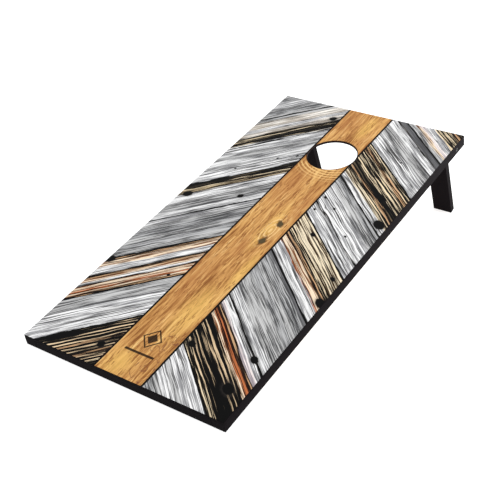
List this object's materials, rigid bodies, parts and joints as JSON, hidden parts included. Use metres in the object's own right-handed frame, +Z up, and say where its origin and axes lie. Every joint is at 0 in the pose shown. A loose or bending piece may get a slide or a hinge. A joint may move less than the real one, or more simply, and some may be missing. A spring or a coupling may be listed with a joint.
{
  "type": "cornhole board",
  "caption": "Slanted lawn game board with a round bag hole near its raised end, on a shallow wooden frame with flat legs that fold under the deck.",
  "frame": {"origin": "bottom centre of the bounding box with the legs open, on the ground", "axes": "+Z up, +Y from the low front edge towards the raised end with the bag hole, +X to the right seen from the front"},
  "size_m": [0.6096, 1.2642, 0.2839],
  "materials": {
    "deck": "satin print of weathered planks on plywood",
    "frame": "satin charcoal paint",
    "bolt": "black oxide",
    "zinc": "bright zinc plate",
    "spacer": "moulded nylon"
  },
  "bodies": {
    "board": {"centre_brace": "frame", "deck_brad_brace_1": "zinc", "deck_brad_brace_2": "zinc", "deck_brad_front_1": "zinc", "deck_brad_front_2": "zinc", "deck_brad_left_1": "zinc", "deck_brad_left_2": "zinc", "deck_brad_left_3": "zinc", "deck_brad_left_4": "zinc", "deck_brad_left_5": "zinc", "deck_brad_left_6": "zinc", "deck_brad_rear_1": "zinc", "deck_brad_rear_2": "zinc", "deck_brad_right_1": "zinc", "deck_brad_right_2": "zinc", "deck_brad_right_3": "zinc", "deck_brad_right_4": "zinc", "deck_brad_right_5": "zinc", "deck_brad_right_6": "zinc", "deck_panel": "deck", "frame_screw_left_brace": "zinc", "frame_screw_left_front": "zinc", "frame_screw_left_rear": "zinc", "frame_screw_right_brace": "zinc", "frame_screw_right_front": "zinc", "frame_screw_right_rear": "zinc", "front_rail": "frame", "left_lock_nut": "zinc", "left_nut_washer": "zinc", "left_pivot_bolt": "bolt", "left_side_rail": "frame", "left_spacer_washer": "spacer", "rear_rail": "frame", "right_lock_nut": "zinc", "right_nut_washer": "zinc", "right_pivot_bolt": "bolt", "right_side_rail": "frame", "right_spacer_washer": "spacer"},
    "left_leg": {"left_leg": "frame"},
    "right_leg": {"right_leg": "frame"}
  },
  "joints": [
    {"name": "left_leg_fold", "type": "hinge", "parent": "board", "child": "left_leg", "pos_m": [-0.2666, 0.5164, 0.25535], "axis": [-1, 0, 0], "range_deg": [0, 101]},
    {"name": "right_leg_fold", "type": "hinge", "parent": "board", "child": "right_leg", "pos_m": [0.2666, 0.5164, 0.25535], "axis": [-1, 0, 0], "range_deg": [0, 101]}
  ]
}
